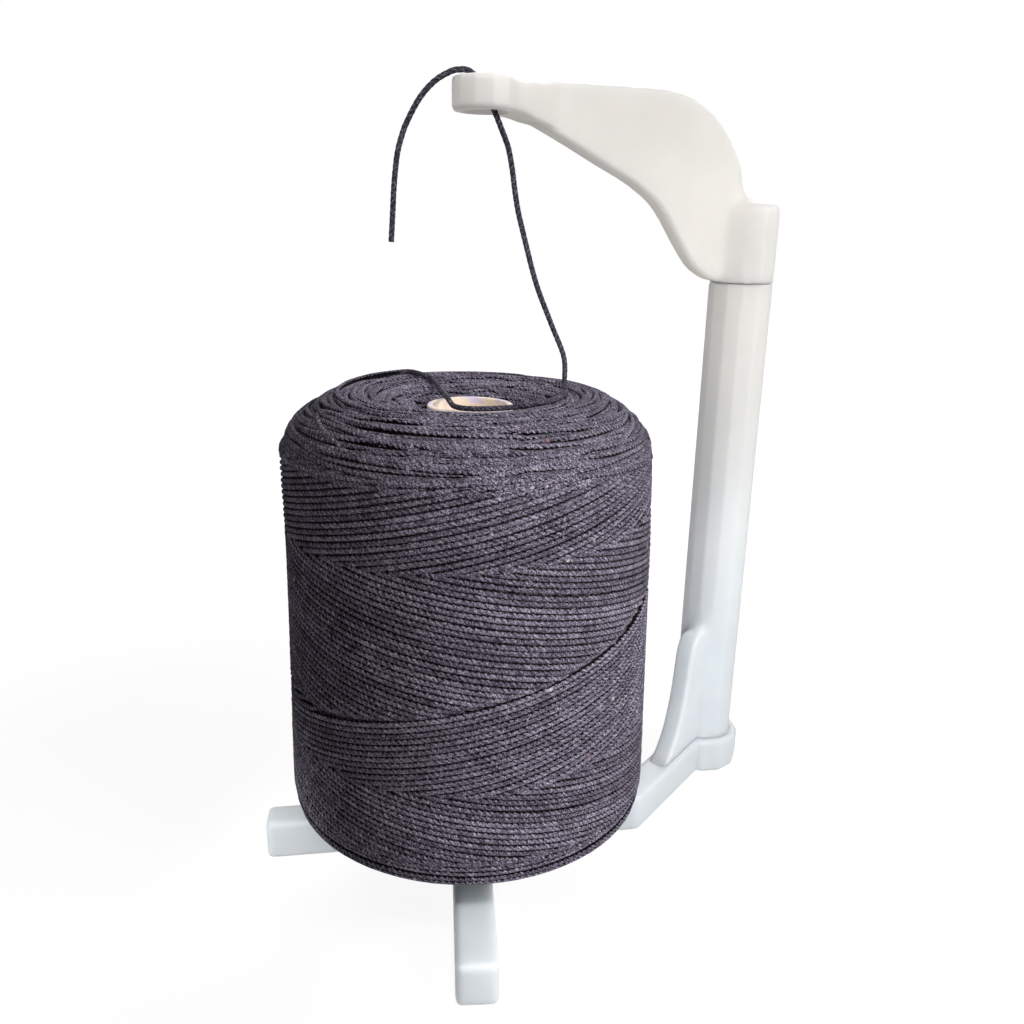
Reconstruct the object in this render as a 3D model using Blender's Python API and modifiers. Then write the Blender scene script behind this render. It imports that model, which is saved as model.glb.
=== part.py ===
"""Yarn ball holder with a swivelling eyelet head, loaded with one package of string.

A printed base of crossed bars carries a spindle and a tall post. The head turns on the
post's journal and leads the string from the package through its eyelet. Metres, +Z up,
with the origin on the table, on the axis of the spindle.
"""

import math

import bmesh
import bpy
import numpy as np
from mathutils import Matrix, Vector

# Fits
TOUCH_GAP = 0.0003
CUT_OVERRUN = 0.002
WELD_DISTANCE = 0.00001

# Base: bars, bosses and their sockets
BAR_WIDTH = 0.012
BAR_HEIGHT = 0.0155
BAR_ROUND = 0.0012
LEFT_LEG_REACH = 0.0755
FRONT_LEG_REACH = 0.0828
FRONT_LEG_WIDTH = 0.0134
FRONT_LEG_TURN_DEG = 3.7
BEND_REACH = 0.0638
POST_LEG_TURN_DEG = 45.0
POST_LEG_LENGTH = 0.0634
BOSS_RADIUS = 0.0162
SOCKET_FLOOR = 0.0035
FACETS = 12
FACET_TURN_DEG = 15.0

# Post, its brace and the journal that the head turns on
POST_RADIUS = 0.0121
POST_TOP = 0.2069
TENON_RADIUS = 0.0080
JOURNAL_RADIUS = 0.0070
JOURNAL_LENGTH = 0.0180
JOURNAL_CHAMFER = 0.0010
BRACE_THICKNESS = 0.0078
BRACE_REACH = 0.0330
BRACE_HEIGHT = 0.0545
BRACE_ROUND = 0.0010

# Swivel head
HUB_HEIGHT = 0.0290
HUB_ROUND = 0.0028
HUB_FOOT_ROUND = 0.0004
ARM_REACH = 0.1130
ARM_RISE = 0.0621
ARM_THICKNESS = 0.0070
ARM_ROUND = 0.0013
ARM_BEARING_DEG = 202.6
EYELET_RADIUS = 0.0104
EYELET_HEIGHT = 0.0098
EYELET_ROUND = 0.0014
EYELET_BORE_RADIUS = 0.0060
EYELET_LIP = 0.0014

# Spindle
SEAT_RADIUS = 0.0190
SEAT_HEIGHT = 0.0094
SEAT_CHAMFER = 0.0010
SPINDLE_RADIUS = 0.0112
SPINDLE_LENGTH = 0.0900
SPINDLE_CHAMFER = 0.0025

# Cardboard core tube
TUBE_RADIUS = 0.0144
TUBE_WALL = 0.0020
TUBE_LENGTH = 0.1440
TUBE_EDGE = 0.0004

# String package
STRING_DIAMETER = 0.0018
PACKAGE_RADIUS = 0.0642
PACKAGE_HEIGHT = 0.1478
WINDING_LOOPS = 24
WINDING_TILT = 0.0060
WINDING_CLIMB_DEG = 15.0
WINDING_END_BEARING_DEG = 124.0

# Smoothness of round and turned pieces
TURN_STEPS = 48
LOOP_POINTS = 24

# Outline of the brace in front of the post, as shares of its reach and height
BRACE_OUTLINE_SHARES = (
    (0.06, 1.00), (0.18, 0.99), (0.28, 0.94), (0.35, 0.85), (0.38, 0.73),
    (0.42, 0.55), (0.50, 0.36), (0.62, 0.19), (0.80, 0.06), (1.00, 0.00),
)

# Edges of the arm from the eyelet to the hub, as shares of its reach and rise
ARM_UPPER_SHARES = (
    (1.000, 0.995), (0.790, 1.006), (0.600, 1.018), (0.430, 1.026), (0.360, 1.020), (0.305, 1.004),
    (0.256, 0.974), (0.205, 0.926), (0.153, 0.855), (0.104, 0.753), (0.066, 0.648), (0.036, 0.538),
    (0.000, 0.440),
)
ARM_LOWER_SHARES = (
    (0.090, 0.005), (0.158, 0.022), (0.231, 0.090), (0.288, 0.200), (0.315, 0.260), (0.363, 0.368),
    (0.414, 0.454), (0.504, 0.546), (0.616, 0.630), (0.732, 0.720), (0.848, 0.804), (0.890, 0.828),
    (0.935, 0.845), (1.000, 0.848),
)

# Outer form of the wound package from its foot to its bore, as shares of radius and height
PACKAGE_SHARES = (
    (0.905, 0.000), (0.972, 0.014), (1.000, 0.055), (0.998, 0.155), (0.989, 0.315), (0.979, 0.505),
    (0.971, 0.710), (0.967, 0.842), (0.959, 0.900), (0.929, 0.938), (0.874, 0.964), (0.797, 0.984),
    (0.701, 0.998), (0.592, 1.000), (0.483, 0.995), (0.400, 0.984), (0.330, 0.966), (0.276, 0.944),
    (0.246, 0.926),
)

# Route of the string over the top of the package, and up to its bare end
LEAD_ROUTE = (
    (-0.0192, 0.0381, 0.1745), (-0.0176, 0.0372, 0.1745), (-0.0163, 0.0353, 0.1745),
    (-0.0148, 0.0328, 0.1744),
    (-0.0131, 0.0303, 0.1741), (-0.0113, 0.0277, 0.1736), (-0.0097, 0.0225, 0.1723),
    (-0.0087, 0.0160, 0.1712), (-0.0079, 0.0097, 0.1710), (-0.0072, 0.0025, 0.1709),
    (-0.0069, -0.0045, 0.1709), (-0.0063, -0.0108, 0.1710), (-0.0036, -0.0152, 0.1711),
    (0.0012, -0.0166, 0.1711), (0.0064, -0.0156, 0.1710), (0.0118, -0.0146, 0.1711),
    (0.0172, -0.0156, 0.1720), (0.0224, -0.0162, 0.1731), (0.0270, -0.0136, 0.1738),
    (0.0300, -0.0090, 0.1742), (0.0314, -0.0044, 0.1745), (0.0317, -0.0010, 0.1752),
    (0.0317, -0.0001, 0.1764), (0.0317, -0.0001, 0.1775),
)
TAIL_ROUTE = (
    (0.0317, -0.0001, 0.1778), (0.0317, -0.0001, 0.1790), (0.0317, -0.0001, 0.1814),
    (0.0314, -0.0001, 0.1841), (0.0304, -0.0002, 0.1874), (0.0274, -0.0003, 0.1940),
    (0.0246, -0.0004, 0.2004), (0.0219, -0.0005, 0.2068), (0.0198, -0.0006, 0.2130),
    (0.0180, -0.0007, 0.2192), (0.0163, -0.0009, 0.2252), (0.0147, -0.0010, 0.2312),
    (0.0136, -0.0011, 0.2371), (0.0127, -0.0012, 0.2430), (0.0115, -0.0013, 0.2487),
    (0.0104, -0.0014, 0.2517), (0.0091, -0.0015, 0.2546), (0.0076, -0.0016, 0.2580),
    (0.0060, -0.0016, 0.2613), (0.0042, -0.0016, 0.2646), (0.0023, -0.0016, 0.2676),
    (0.0004, -0.0016, 0.2696), (-0.0016, -0.0016, 0.2706), (-0.0036, -0.0016, 0.2706),
    (-0.0056, -0.0016, 0.2703), (-0.0076, -0.0016, 0.2694), (-0.0096, -0.0016, 0.2683),
    (-0.0114, -0.0016, 0.2670), (-0.0139, -0.0016, 0.2646), (-0.0161, -0.0016, 0.2618),
    (-0.0178, -0.0016, 0.2590), (-0.0193, -0.0016, 0.2562), (-0.0206, -0.0016, 0.2534),
    (-0.0224, -0.0016, 0.2477), (-0.0233, -0.0016, 0.2420), (-0.0239, -0.0016, 0.2363),
    (-0.0243, -0.0016, 0.2305), (-0.0250, -0.0016, 0.2210),
)

# Colours
PRINT_WHITE = (0.80, 0.80, 0.79, 1.0)
STRING_CHARCOAL = (0.055, 0.052, 0.065, 1.0)
CARDBOARD_BEIGE = (0.62, 0.48, 0.34, 1.0)


# Scene and small tools

def empty_scene():
    for obj in list(bpy.data.objects):
        bpy.data.objects.remove(obj, do_unlink=True)


def new_collection(name):
    collection = bpy.data.collections.new(name)
    bpy.context.scene.collection.children.link(collection)
    return collection


def new_material(name, colour, roughness):
    material = bpy.data.materials.new(name)
    material.use_nodes = True
    shader = material.node_tree.nodes["Principled BSDF"]
    shader.inputs["Base Color"].default_value = colour
    shader.inputs["Roughness"].default_value = roughness
    shader.inputs["Metallic"].default_value = 0.0
    return material


def mesh_object(name, bm, collection, location=(0, 0, 0)):
    """A new object from a finished bmesh, which it frees."""
    mesh = bpy.data.meshes.new(name)
    bmesh.ops.recalc_face_normals(bm, faces=bm.faces)
    bm.to_mesh(mesh)
    bm.free()
    obj = bpy.data.objects.new(name, mesh)
    obj.location = location
    collection.objects.link(obj)
    if collection is cutters:
        obj.hide_render = True
        obj.display_type = "WIRE"
    return obj


def box_between(name, start, end, width, bottom, top, collection):
    """A square bar that runs in plan from start to end."""
    start = Vector(start)
    run = Vector(end) - start
    bm = bmesh.new()
    bmesh.ops.create_cube(bm, size=1.0)
    centre = start + run / 2
    place = Matrix.Translation((centre.x, centre.y, (bottom + top) / 2))
    turn = Matrix.Rotation(math.atan2(run.y, run.x), 4, "Z")
    size = Matrix.Diagonal((run.length, width, top - bottom, 1.0))
    bmesh.ops.transform(bm, matrix=place @ turn @ size, verts=bm.verts)
    return mesh_object(name, bm, collection)


def round_rim(bm, height, radius):
    """Rounds the edges that lie flat at a height."""
    rim = [e for e in bm.edges if all(abs(v.co.z - height) < WELD_DISTANCE for v in e.verts)]
    bmesh.ops.bevel(bm, geom=rim, offset=radius, segments=2, profile=0.5, affect="EDGES")


def prism(name, sides, radius, bottom, top, collection, centre=(0, 0), turn_deg=0.0, foot=0.0, crown=0.0):
    """An upright prism with rounded rims at its foot and crown."""
    bm = bmesh.new()
    place = Matrix.Translation((centre[0], centre[1], (bottom + top) / 2))
    bmesh.ops.create_cone(
        bm, cap_ends=True, segments=sides, radius1=radius, radius2=radius, depth=top - bottom,
        matrix=place @ Matrix.Rotation(math.radians(turn_deg), 4, "Z"),
    )
    if foot:
        round_rim(bm, bottom, foot)
    if crown:
        round_rim(bm, top, crown)
    return mesh_object(name, bm, collection)


def boolean(target, other, operation):
    modifier = target.modifiers.new(f"{operation.lower()} {other.name}", "BOOLEAN")
    modifier.operation = operation
    modifier.solver = "EXACT"
    modifier.object = other


def turned(name, profile, collection, closed=False):
    """A turned piece from a profile of (radius, height) that runs down its outer side."""
    bm = bmesh.new()
    points = [bm.verts.new((radius, 0, height)) for radius, height in profile]
    for first, second in zip(points, points[1:]):
        bm.edges.new((first, second))
    if closed:
        bm.edges.new((points[-1], points[0]))
    mesh = bpy.data.meshes.new(name)
    bm.to_mesh(mesh)
    bm.free()
    obj = bpy.data.objects.new(name, mesh)
    collection.objects.link(obj)
    if collection is cutters:
        obj.hide_render = True
        obj.display_type = "WIRE"
    screw = obj.modifiers.new("turn", "SCREW")
    screw.axis = "Z"
    screw.steps = TURN_STEPS
    screw.render_steps = TURN_STEPS
    screw.use_merge_vertices = True
    screw.merge_threshold = WELD_DISTANCE
    screw.use_smooth_shade = True
    return obj


def smooth_run(points, steps):
    """Points on a smooth curve through the given points, with this many steps a span."""
    knots = [np.array(point, float) for point in points]
    knots = [2 * knots[0] - knots[1], *knots, 2 * knots[-1] - knots[-2]]
    run = []
    for before, start, end, after in zip(knots, knots[1:], knots[2:], knots[3:]):
        for step in range(steps):
            t = step / steps
            run.append(
                start
                + (end - before) * t / 2
                + (2 * before - 5 * start + 4 * end - after) * t**2 / 2
                + (3 * start - before - 3 * end + after) * t**3 / 2
            )
    run.append(knots[-2])
    return run


def tube(name, points, diameter, sides_step, collection):
    """A round tube along a chain of points."""
    curve = bpy.data.curves.new(name, "CURVE")
    curve.dimensions = "3D"
    curve.bevel_depth = diameter / 2
    curve.bevel_resolution = sides_step
    curve.use_fill_caps = True
    spline = curve.splines.new("POLY")
    spline.points.add(len(points) - 1)
    for knot, point in zip(spline.points, points):
        knot.co = (*point, 1.0)
    obj = bpy.data.objects.new(name, curve)
    collection.objects.link(obj)
    return obj


def flat_plate(name, outline, thickness, rounding, collection):
    """A plate cut from an outline of (x, z), centred on y = 0, with rounded edges."""
    curve = bpy.data.curves.new(name, "CURVE")
    curve.dimensions = "2D"
    curve.fill_mode = "BOTH"
    curve.extrude = thickness / 2
    spline = curve.splines.new("POLY")
    spline.points.add(len(outline) - 1)
    for knot, (x, z) in zip(spline.points, outline):
        knot.co = (x, z, 0.0, 1.0)
    spline.use_cyclic_u = True
    drawn = bpy.data.objects.new(name, curve)
    collection.objects.link(drawn)
    bpy.context.view_layer.update()
    mesh = bpy.data.meshes.new_from_object(drawn.evaluated_get(bpy.context.evaluated_depsgraph_get()))
    bpy.data.objects.remove(drawn, do_unlink=True)
    bm = bmesh.new()
    bm.from_mesh(mesh)
    bmesh.ops.remove_doubles(bm, verts=bm.verts, dist=WELD_DISTANCE)
    bmesh.ops.dissolve_limit(bm, angle_limit=math.radians(1.0), verts=bm.verts, edges=bm.edges)
    bmesh.ops.rotate(bm, cent=(0, 0, 0), matrix=Matrix.Rotation(math.radians(90), 3, "X"), verts=bm.verts)
    edges = [e for e in bm.edges if e.is_manifold and e.calc_face_angle() > math.radians(60)]
    edges = [e for e in edges if abs(e.verts[0].co.y - e.verts[1].co.y) < WELD_DISTANCE]
    bmesh.ops.bevel(bm, geom=edges, offset=rounding, segments=2, profile=0.5, affect="EDGES")
    return mesh_object(name, bm, collection)


def give(obj, material):
    obj.data.materials.clear()
    obj.data.materials.append(material)


def shade_round(obj, angle_deg):
    """Smooth shading that keeps facets and rims sharp."""
    obj.data.shade_smooth()
    obj.data.set_sharp_from_angle(angle=math.radians(angle_deg))


# Places worked out from the driving dimensions

POST_LEG_TURN = math.radians(POST_LEG_TURN_DEG)
POST_X = BEND_REACH + POST_LEG_LENGTH * math.cos(POST_LEG_TURN)
POST_Y = POST_LEG_LENGTH * math.sin(POST_LEG_TURN)
POST_FOOT = BAR_HEIGHT + TOUCH_GAP
SEAT_TOP = BAR_HEIGHT + TOUCH_GAP + SEAT_HEIGHT
PACKAGE_FOOT = SEAT_TOP + TOUCH_GAP
HEAD_FOOT = POST_TOP + TOUCH_GAP
TENON_FOOT = SOCKET_FLOOR + TOUCH_GAP
SOCKET_RADIUS = TENON_RADIUS + TOUCH_GAP


# Base frame: three bars that meet at the spindle boss, and the leg that bends to the post boss

def build_base():
    base = box_between("base_frame", (-LEFT_LEG_REACH, 0), (BEND_REACH, 0), BAR_WIDTH, 0, BAR_HEIGHT, parts)
    front_turn = math.radians(FRONT_LEG_TURN_DEG)
    front_end = (-FRONT_LEG_REACH * math.sin(front_turn), -FRONT_LEG_REACH * math.cos(front_turn))
    joined = [
        box_between("front_leg", (0, 0), front_end, FRONT_LEG_WIDTH, 0, BAR_HEIGHT, cutters),
        box_between("post_leg", (BEND_REACH, 0), (POST_X, POST_Y), BAR_WIDTH, 0, BAR_HEIGHT, cutters),
        prism("bend", TURN_STEPS, BAR_WIDTH / 2, 0, BAR_HEIGHT, cutters, centre=(BEND_REACH, 0)),
        prism("spindle_boss", FACETS, BOSS_RADIUS, 0, BAR_HEIGHT, cutters, turn_deg=FACET_TURN_DEG),
        prism("post_boss", FACETS, BOSS_RADIUS, 0, BAR_HEIGHT, cutters, centre=(POST_X, POST_Y),
              turn_deg=FACET_TURN_DEG),
    ]
    for shape in joined:
        boolean(base, shape, "UNION")
    flatten = base.modifiers.new("one flat face", "DECIMATE")
    flatten.decimate_type = "DISSOLVE"
    flatten.angle_limit = math.radians(0.5)
    rounding = base.modifiers.new("rounded edges", "BEVEL")
    rounding.width = BAR_ROUND
    rounding.segments = 2
    rounding.limit_method = "ANGLE"
    rounding.angle_limit = math.radians(50)
    rounding.use_clamp_overlap = False
    for name, centre in (("spindle_socket", (0, 0)), ("post_socket", (POST_X, POST_Y))):
        top = BAR_HEIGHT + CUT_OVERRUN
        socket = prism(name, TURN_STEPS, SOCKET_RADIUS, SOCKET_FLOOR, top, cutters, centre=centre)
        boolean(base, socket, "DIFFERENCE")
    give(base, white)


# Spindle: a turned peg with a seat collar, whose tenon sits in the base

def build_spindle():
    top = SEAT_TOP + SPINDLE_LENGTH
    profile = (
        (0, top),
        (SPINDLE_RADIUS - SPINDLE_CHAMFER, top),
        (SPINDLE_RADIUS, top - SPINDLE_CHAMFER),
        (SPINDLE_RADIUS, SEAT_TOP),
        (SEAT_RADIUS - SEAT_CHAMFER, SEAT_TOP),
        (SEAT_RADIUS, SEAT_TOP - SEAT_CHAMFER),
        (SEAT_RADIUS, POST_FOOT),
        (TENON_RADIUS, POST_FOOT),
        (TENON_RADIUS, TENON_FOOT),
        (0, TENON_FOOT),
    )
    spindle = turned("spindle", profile, parts)
    give(spindle, white)


# Post: faceted column with a round tenon below, a journal above and a brace to the leg

def build_post():
    post = prism("post", FACETS, POST_RADIUS, POST_FOOT, POST_TOP, parts, turn_deg=FACET_TURN_DEG)
    post.location = (POST_X, POST_Y, 0)
    tenon = prism("post_tenon", TURN_STEPS, TENON_RADIUS, TENON_FOOT, POST_FOOT + CUT_OVERRUN, cutters)
    journal = turned("post_journal", (
        (0, POST_TOP + JOURNAL_LENGTH),
        (JOURNAL_RADIUS - JOURNAL_CHAMFER, POST_TOP + JOURNAL_LENGTH),
        (JOURNAL_RADIUS, POST_TOP + JOURNAL_LENGTH - JOURNAL_CHAMFER),
        (JOURNAL_RADIUS, POST_TOP - CUT_OVERRUN),
        (0, POST_TOP - CUT_OVERRUN),
    ), cutters)
    edge = [
        (POST_RADIUS + BRACE_REACH * x, POST_FOOT + BRACE_HEIGHT * z)
        for x, z in smooth_run(BRACE_OUTLINE_SHARES, 2)
    ]
    inner = POST_RADIUS - BRACE_THICKNESS / 2
    outline = [(inner, POST_FOOT + BRACE_HEIGHT), *edge, (inner, POST_FOOT)]
    brace = flat_plate("post_brace", outline, BRACE_THICKNESS, BRACE_ROUND, cutters)
    brace.rotation_euler = (0, 0, POST_LEG_TURN + math.pi)
    for shape in (tenon, journal, brace):
        shape.location = post.location
        boolean(post, shape, "UNION")
    give(post, white)


# Swivel head: a faceted hub on the journal, a swept flat arm and a faceted eyelet ring

def build_head():
    bearing = math.radians(ARM_BEARING_DEG)
    hub = prism("swivel_head", FACETS, POST_RADIUS, 0, HUB_HEIGHT, parts,
                turn_deg=FACET_TURN_DEG, foot=HUB_FOOT_ROUND, crown=HUB_ROUND)
    hub.location = (POST_X, POST_Y, HEAD_FOOT)
    shares = smooth_run(ARM_UPPER_SHARES, 3) + smooth_run(ARM_LOWER_SHARES, 3)
    outline = [(ARM_REACH * x, ARM_RISE * z) for x, z in shares]
    arm = flat_plate("arm_plate", outline, ARM_THICKNESS, ARM_ROUND, cutters)
    ring_foot = ARM_RISE - EYELET_HEIGHT
    ring = prism("eyelet_ring", FACETS, EYELET_RADIUS, ring_foot, ARM_RISE, cutters,
                 centre=(ARM_REACH, 0), turn_deg=FACET_TURN_DEG, foot=EYELET_ROUND, crown=EYELET_ROUND)
    for shape in (arm, ring):
        boolean(hub, shape, "UNION")
    socket = prism("journal_socket", TURN_STEPS, JOURNAL_RADIUS + TOUCH_GAP, -CUT_OVERRUN,
                   JOURNAL_LENGTH + TOUCH_GAP, cutters)
    wide = EYELET_BORE_RADIUS + EYELET_LIP + CUT_OVERRUN
    bore = turned("eyelet_bore", (
        (0, ARM_RISE + CUT_OVERRUN),
        (wide, ARM_RISE + CUT_OVERRUN),
        (EYELET_BORE_RADIUS, ARM_RISE - EYELET_LIP),
        (EYELET_BORE_RADIUS, ring_foot + EYELET_LIP),
        (wide, ring_foot - CUT_OVERRUN),
        (0, ring_foot - CUT_OVERRUN),
    ), cutters)
    turn = Matrix.Rotation(bearing, 4, "Z")
    seat = Matrix.Translation(hub.location)
    for shape in (arm, ring, socket):
        shape.matrix_world = seat @ turn
    bore.matrix_world = seat @ turn @ Matrix.Translation((ARM_REACH, 0, 0))
    for shape in (socket, bore):
        boolean(hub, shape, "DIFFERENCE")
    give(hub, white)


# Core tube: rolled cardboard that stands on the seat collar round the spindle

def build_core_tube():
    top = PACKAGE_FOOT + TUBE_LENGTH
    inner = TUBE_RADIUS - TUBE_WALL
    profile = (
        (inner + TUBE_EDGE, top),
        (TUBE_RADIUS - TUBE_EDGE, top),
        (TUBE_RADIUS, top - TUBE_EDGE),
        (TUBE_RADIUS, PACKAGE_FOOT),
        (inner, PACKAGE_FOOT),
        (inner, top - TUBE_EDGE),
    )
    core = turned("core_tube", profile, parts, closed=True)
    give(core, cardboard)


# String package: a plain wound body, and its outer layer of turns

def package_form(inset):
    """The package's profile of (radius, height), moved in by an inset."""
    outer = smooth_run(PACKAGE_SHARES, 3)
    outer = [np.array((PACKAGE_RADIUS * r, PACKAGE_FOOT + PACKAGE_HEIGHT * h)) for r, h in outer]
    form = []
    for index, point in enumerate(outer):
        along = outer[min(index + 1, len(outer) - 1)] - outer[max(index - 1, 0)]
        along /= np.linalg.norm(along)
        form.append(point + inset * np.array((-along[1], along[0])))
    return form


def build_yarn_body():
    bore = TUBE_RADIUS + TOUCH_GAP
    chord_dip = PACKAGE_RADIUS * (1 - math.cos(math.pi / LOOP_POINTS))
    inset = STRING_DIAMETER + chord_dip + TOUCH_GAP
    form = [(r, z) for r, z in package_form(inset) if r > bore + STRING_DIAMETER]
    form = [(r, max(z, PACKAGE_FOOT)) for r, z in form]
    foot_radius = form[0][0] - STRING_DIAMETER
    profile = [(bore, form[-1][1]), *reversed(form), (foot_radius, PACKAGE_FOOT), (bore, PACKAGE_FOOT)]
    body = turned("yarn_body", profile, parts, closed=True)
    give(body, string)


def winding_route():
    """The turns of the outer layer, clockwise from the foot of the package to its crown."""
    form = package_form(STRING_DIAMETER / 2)
    low = PACKAGE_FOOT + STRING_DIAMETER
    crown_radius = PACKAGE_RADIUS * PACKAGE_SHARES[12][0] - STRING_DIAMETER
    steps = [np.linalg.norm(b - a) for a, b in zip(form, form[1:])]
    lengths = np.concatenate(([0.0], np.cumsum(steps)))
    radii = np.array([r for r, _ in form])
    heights = np.array([z for _, z in form])
    widest = int(np.argmax(radii))
    start = np.interp(low, heights[:widest], lengths[:widest])
    end = np.interp(-crown_radius, -radii[widest:], lengths[widest:])
    count = WINDING_LOOPS * LOOP_POINTS
    lift = STRING_DIAMETER + TOUCH_GAP
    climb = math.radians(WINDING_CLIMB_DEG)
    last = math.radians(WINDING_END_BEARING_DEG)
    route = []
    for index in range(count + 1):
        share = index / count
        bearing = last + math.tau * (count - index) / LOOP_POINTS
        tilt = WINDING_TILT * math.cos(3 * math.pi * share) * min(1.0, 8 * share, 8 * (1 - share))
        place = start + (end - start) * share + tilt * math.sin(bearing)
        radius = np.interp(place, lengths, radii)
        height = np.interp(place, lengths, heights)
        height += lift * max(0.0, 1 - (bearing - last) / climb)
        route.append(np.array((radius * math.cos(bearing), radius * math.sin(bearing), height)))
    for end_index, neighbour in ((0, 1), (-1, -2)):
        direction = route[end_index] - route[neighbour]
        direction[2] = 0.0
        straight = route[end_index] + STRING_DIAMETER * direction / np.linalg.norm(direction)
        route.insert(0 if end_index == 0 else len(route), straight)
    return route


def least_gap(route, diameter, skip):
    """The least clear distance between stretches of a winding that are not neighbours."""
    points = np.array(route)
    least = math.inf
    for index in range(len(points) - skip):
        away = np.linalg.norm(points[index + skip:] - points[index], axis=1)
        least = min(least, away.min() - diameter)
    return least


def build_winding(route):
    gap = least_gap(route, STRING_DIAMETER, LOOP_POINTS // 2)
    print(f"yarn_winding: {WINDING_LOOPS} loops, least gap to itself {gap * 1000:.2f} mm")
    winding = tube("yarn_winding", [tuple(point) for point in route], STRING_DIAMETER, 1, parts)
    give(winding, string)


# Loose string: over the crown from the last turn, and up through the eyelet to its bare end

def build_strands(wound):
    along = wound[-1] - wound[-2]
    along /= np.linalg.norm(along)
    start = wound[-1] + TOUCH_GAP * along
    lead = (start, start + STRING_DIAMETER * along, *LEAD_ROUTE)
    for name, route in (("yarn_lead", lead), ("yarn_tail", TAIL_ROUTE)):
        points = [tuple(point) for point in smooth_run(route, 2)]
        strand = tube(name, points, STRING_DIAMETER, 2, parts)
        give(strand, string)


empty_scene()
parts = new_collection("yarn_ball_holder")
cutters = new_collection("cutters")
white = new_material("printed_white", PRINT_WHITE, 0.45)
string = new_material("cotton_string", STRING_CHARCOAL, 0.9)
cardboard = new_material("cardboard", CARDBOARD_BEIGE, 0.8)

build_base()
build_spindle()
build_post()
build_head()
build_core_tube()
build_yarn_body()
wound_route = winding_route()
build_winding(wound_route)
build_strands(wound_route)

for part in parts.objects:
    if part.type == "MESH":
        shade_round(part, 25)
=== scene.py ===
"""Yarn ball holder in white printed plastic, loaded with one package of charcoal string.

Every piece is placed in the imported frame, in metres, with +Z up and the spindle's axis at the origin.
"""

import math

import bpy
import numpy as np
from mathutils import Matrix, Vector


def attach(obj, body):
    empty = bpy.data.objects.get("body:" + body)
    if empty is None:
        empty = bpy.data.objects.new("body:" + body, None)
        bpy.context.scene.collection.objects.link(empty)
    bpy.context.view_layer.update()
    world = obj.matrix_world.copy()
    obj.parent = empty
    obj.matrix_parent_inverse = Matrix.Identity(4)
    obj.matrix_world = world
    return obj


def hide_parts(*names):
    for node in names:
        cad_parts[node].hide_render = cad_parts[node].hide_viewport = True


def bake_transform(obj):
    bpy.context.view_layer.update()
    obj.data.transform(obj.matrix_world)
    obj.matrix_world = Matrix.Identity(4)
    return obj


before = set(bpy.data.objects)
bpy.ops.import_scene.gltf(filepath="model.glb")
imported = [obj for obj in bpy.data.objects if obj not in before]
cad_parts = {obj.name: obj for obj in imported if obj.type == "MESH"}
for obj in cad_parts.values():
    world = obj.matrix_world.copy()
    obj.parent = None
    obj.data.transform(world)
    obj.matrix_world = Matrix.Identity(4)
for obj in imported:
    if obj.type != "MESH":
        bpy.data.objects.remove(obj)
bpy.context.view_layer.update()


# Camera
# It stands a little left of the front and looks down on the package, as in the photograph.
CAMERA_PLACE = (-0.02999, -0.30002, 0.22754)
CAMERA_BEARING_DEG = -8.48
CAMERA_TILT_DEG = 72.4
CAMERA_ROLL_DEG = 1.05
CAMERA_LENS_MM = 32.12
CAMERA_SENSOR_MM = 36.0

camera_data = bpy.data.cameras.new("camera")
camera_data.lens = CAMERA_LENS_MM
camera_data.sensor_width = CAMERA_SENSOR_MM
camera = bpy.data.objects.new("camera", camera_data)
bpy.context.scene.collection.objects.link(camera)
camera.matrix_world = (
    Matrix.Translation(CAMERA_PLACE)
    @ Matrix.Rotation(math.radians(CAMERA_BEARING_DEG), 4, "Z")
    @ Matrix.Rotation(math.radians(CAMERA_TILT_DEG), 4, "X")
    @ Matrix.Rotation(math.radians(CAMERA_ROLL_DEG), 4, "Z")
)
bpy.context.scene.camera = camera


# Loose string
# A soft cotton string of three plies twisted together. One stretch lies over the crown of the
# package, and the next rises from it through the eyelet and hangs down to its bare end.
STRING_DIAMETER = 0.0018
STRING_TWIST = 0.0058
STRING_PLIES = 3
PLY_OFFSET_SHARE = 0.22
CORD_SIDES = 24
CORD_STEP = 0.0004
CURVE_STEPS = 6
MIDDLE_TONE = 0.5
LEAD_ROUTE = (
    (-0.02253, 0.03714, 0.17443), (-0.02104, 0.03814, 0.17443),
    (-0.0192, 0.0381, 0.1745), (-0.0176, 0.0372, 0.1745), (-0.0163, 0.0353, 0.1745),
    (-0.0148, 0.0328, 0.1744), (-0.0131, 0.0303, 0.1741), (-0.0113, 0.0277, 0.1736),
    (-0.0097, 0.0225, 0.1723), (-0.0087, 0.0160, 0.1712), (-0.0079, 0.0097, 0.1710),
    (-0.0072, 0.0025, 0.1709), (-0.0069, -0.0045, 0.1709), (-0.0063, -0.0108, 0.1710),
    (-0.0036, -0.0152, 0.1711), (0.0012, -0.0166, 0.1711), (0.0064, -0.0156, 0.1710),
    (0.0118, -0.0146, 0.1711), (0.0172, -0.0156, 0.1720), (0.0224, -0.0162, 0.1731),
    (0.0270, -0.0136, 0.1738), (0.0300, -0.0090, 0.1742), (0.0314, -0.0044, 0.1745),
    (0.0317, -0.0010, 0.1752), (0.0317, -0.0001, 0.1764), (0.0317, -0.0001, 0.1775),
)
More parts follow.
